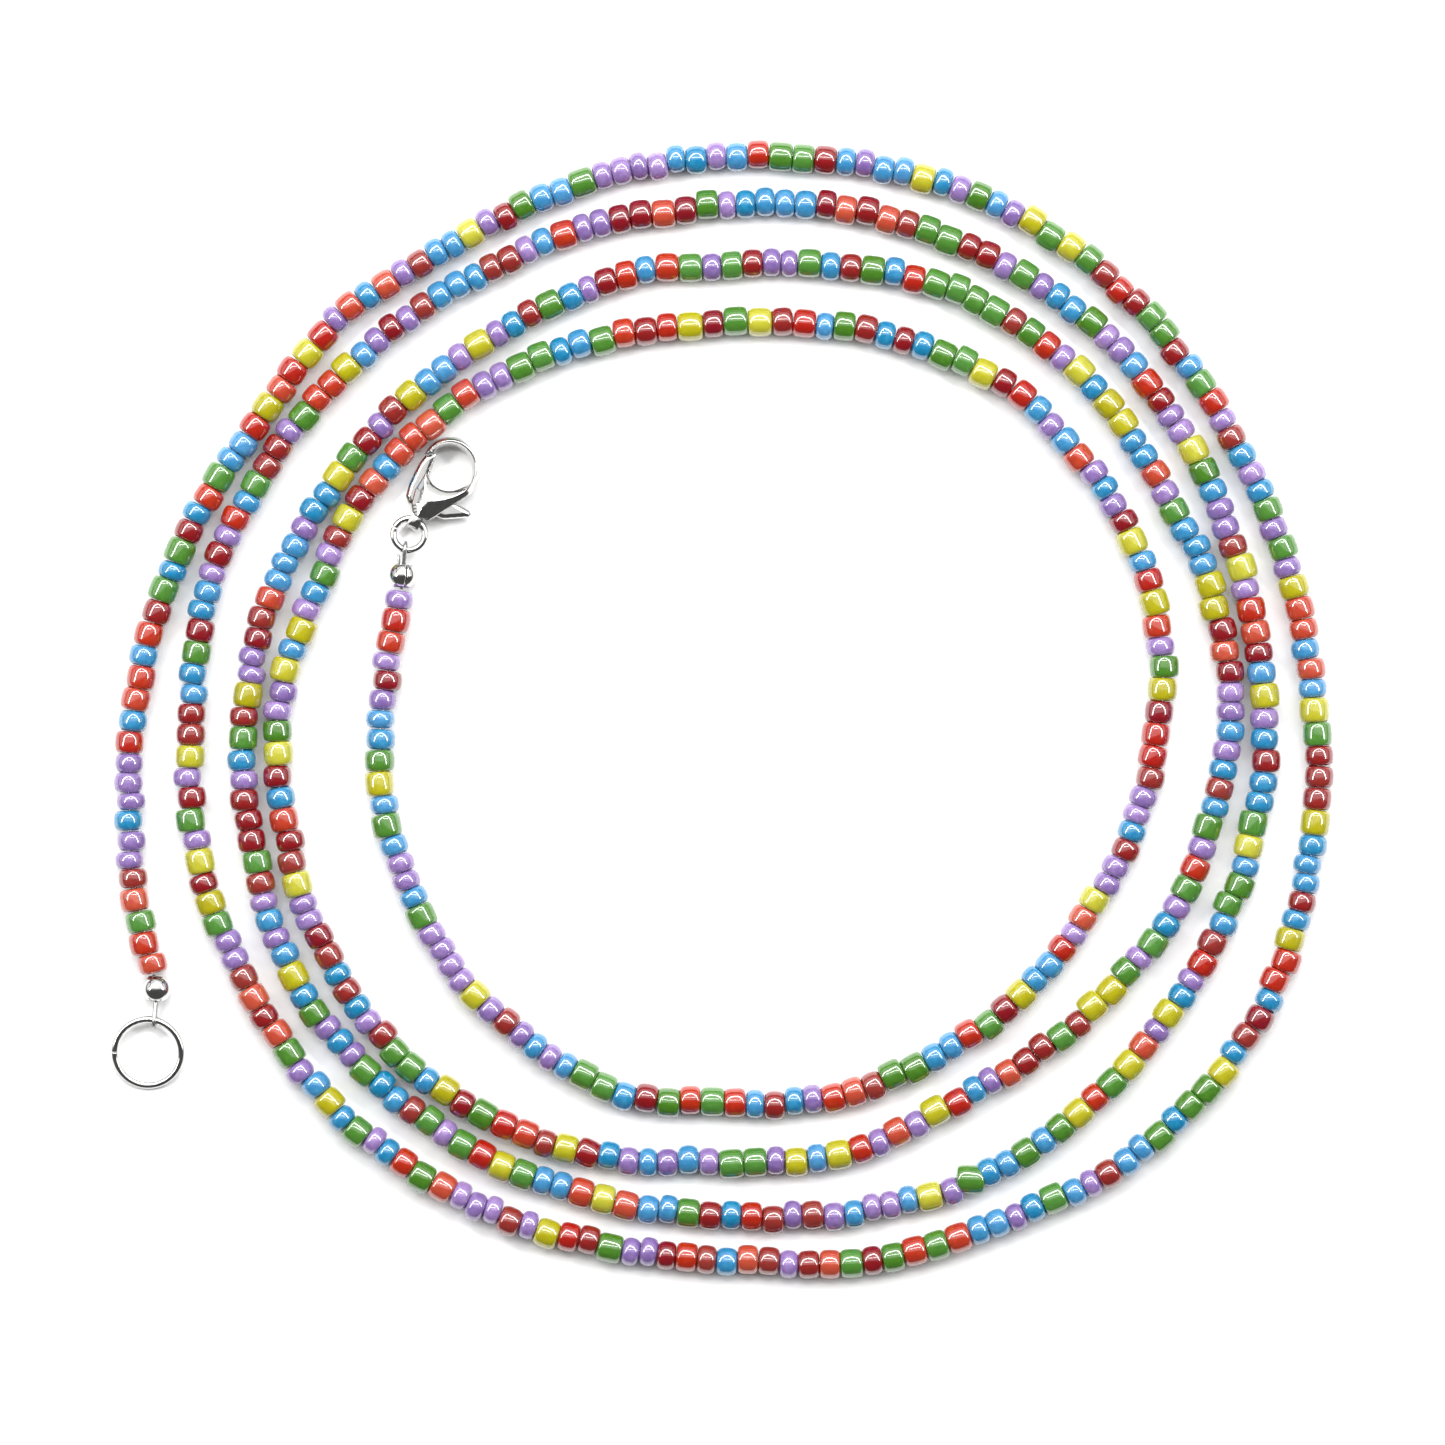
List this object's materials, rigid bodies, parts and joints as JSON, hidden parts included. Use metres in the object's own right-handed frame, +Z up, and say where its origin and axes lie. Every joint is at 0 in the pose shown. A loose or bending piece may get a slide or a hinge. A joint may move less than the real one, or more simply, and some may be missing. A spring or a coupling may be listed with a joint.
{
  "type": "beaded eyewear strap",
  "caption": "Long strand of round glass seed beads on coated wire, laid in loose laps, with a lobster clasp on one end and a plain ring on the other.",
  "frame": {"origin": "middle of the coiled strand's bounding box, on the surface it lies on", "axes": "+Z up from the surface, +X and +Y across the coil as it lies; the two ends are on the -X side, the clasp inside the laps and the plain ring outside"},
  "size_m": [0.124, 0.1155, 0.0031],
  "materials": {
    "red_glass": "gloss",
    "orange_glass": "gloss",
    "yellow_glass": "gloss",
    "green_glass": "gloss",
    "blue_glass": "gloss",
    "violet_glass": "gloss",
    "beading_wire": "satin",
    "polished_steel": "polished"
  },
  "bodies": {
    "strand": {"wire_coil": "beading_wire", "red_beads_lap_1": "red_glass", "orange_beads_lap_1": "orange_glass", "yellow_beads_lap_1": "yellow_glass", "green_beads_lap_1": "green_glass", "blue_beads_lap_1": "blue_glass", "violet_beads_lap_1": "violet_glass", "red_beads_lap_2": "red_glass", "orange_beads_lap_2": "orange_glass", "yellow_beads_lap_2": "yellow_glass", "green_beads_lap_2": "green_glass", "blue_beads_lap_2": "blue_glass", "violet_beads_lap_2": "violet_glass", "red_beads_lap_3": "red_glass", "orange_beads_lap_3": "orange_glass", "yellow_beads_lap_3": "yellow_glass", "green_beads_lap_3": "green_glass", "blue_beads_lap_3": "blue_glass", "violet_beads_lap_3": "violet_glass", "red_beads_lap_4": "red_glass", "orange_beads_lap_4": "orange_glass", "yellow_beads_lap_4": "yellow_glass", "green_beads_lap_4": "green_glass", "blue_beads_lap_4": "blue_glass", "violet_beads_lap_4": "violet_glass"},
    "ring_tail_2": {"wire_ring_tail_2": "beading_wire", "orange_bead_ring_tail_2": "orange_glass", "red_bead_ring_tail_2": "red_glass", "violet_beads_ring_tail_2": "violet_glass"},
    "ring_tail_1": {"wire_ring_tail_1": "beading_wire", "orange_beads_ring_tail_1": "orange_glass", "green_bead_ring_tail_1": "green_glass"},
    "ring_fitting": {"wire_ring_loop": "beading_wire", "crimp_tube_ring_end": "beading_wire", "crimp_cover_ring_end": "polished_steel"},
    "end_ring": {"end_ring": "polished_steel"},
    "clasp_tail_2": {"wire_clasp_tail_2": "beading_wire", "violet_beads_clasp_tail_2": "violet_glass", "red_bead_clasp_tail_2": "red_glass", "blue_bead_clasp_tail_2": "blue_glass"},
    "clasp_tail_1": {"wire_clasp_tail_1": "beading_wire", "violet_bead_clasp_tail_1": "violet_glass", "orange_beads_clasp_tail_1": "orange_glass"},
    "clasp_fitting": {"wire_clasp_loop": "beading_wire", "crimp_tube_clasp_end": "beading_wire", "crimp_cover_clasp_end": "polished_steel"},
    "jump_ring": {"jump_ring": "polished_steel"},
    "clasp": {"clasp_body": "polished_steel", "clasp_pivot_pin": "polished_steel", "clasp_spring": "polished_steel"},
    "lever": {"clasp_lever": "polished_steel"}
  },
  "joints": [
    {"name": "ring_tail_bend_2", "type": "hinge", "parent": "strand", "child": "ring_tail_2", "pos_m": [-0.06025, -0.01248, 0.0015], "axis": [0, 0, 1], "range_deg": [-6, 6]},
    {"name": "ring_tail_bend_1", "type": "hinge", "parent": "ring_tail_2", "child": "ring_tail_1", "pos_m": [-0.0593, -0.02061, 0.0015], "axis": [0, 0, 1], "range_deg": [-6, 6]},
    {"name": "ring_cover_bend", "type": "hinge", "parent": "ring_tail_1", "child": "ring_fitting", "pos_m": [-0.05783, -0.02698, 0.0015], "axis": [0, 0, 1], "range_deg": [-15, 15]},
    {"name": "end_ring_flip", "type": "hinge", "parent": "ring_fitting", "child": "end_ring", "pos_m": [-0.05772, -0.03169, 0.00126], "axis": [-0.9781, 0.2079, 0], "range_deg": [0, 120]},
    {"name": "clasp_tail_bend_2", "type": "hinge", "parent": "strand", "child": "clasp_tail_2", "pos_m": [-0.03465, -0.0021, 0.0015], "axis": [0, 0, 1], "range_deg": [-6, 0]},
    {"name": "clasp_tail_bend_1", "type": "hinge", "parent": "clasp_tail_2", "child": "clasp_tail_1", "pos_m": [-0.03386, 0.0056, 0.0015], "axis": [0, 0, 1], "range_deg": [-6, 0]},
    {"name": "clasp_cover_bend", "type": "hinge", "parent": "clasp_tail_1", "child": "clasp_fitting", "pos_m": [-0.03268, 0.01196, 0.0015], "axis": [0, 0, 1], "range_deg": [-15, 0]},
    {"name": "jump_ring_lift", "type": "hinge", "parent": "clasp_fitting", "child": "jump_ring", "pos_m": [-0.03227, 0.01609, 0.00126], "axis": [0.9659, -0.2588, 0], "range_deg": [0, 100]},
    {"name": "clasp_swing", "type": "hinge", "parent": "jump_ring", "child": "clasp", "pos_m": [-0.03186, 0.01764, 0.00126], "axis": [0, 0, 1], "range_deg": [-60, 0]},
    {"name": "lever_press", "type": "hinge", "parent": "clasp", "child": "lever", "pos_m": [-0.02924, 0.02057, 0.00135], "axis": [0, 0, -1], "range_deg": [0, 25], "stiffness_Nm_per_rad": 0.005, "springref_deg": -17.19}
  ]
}
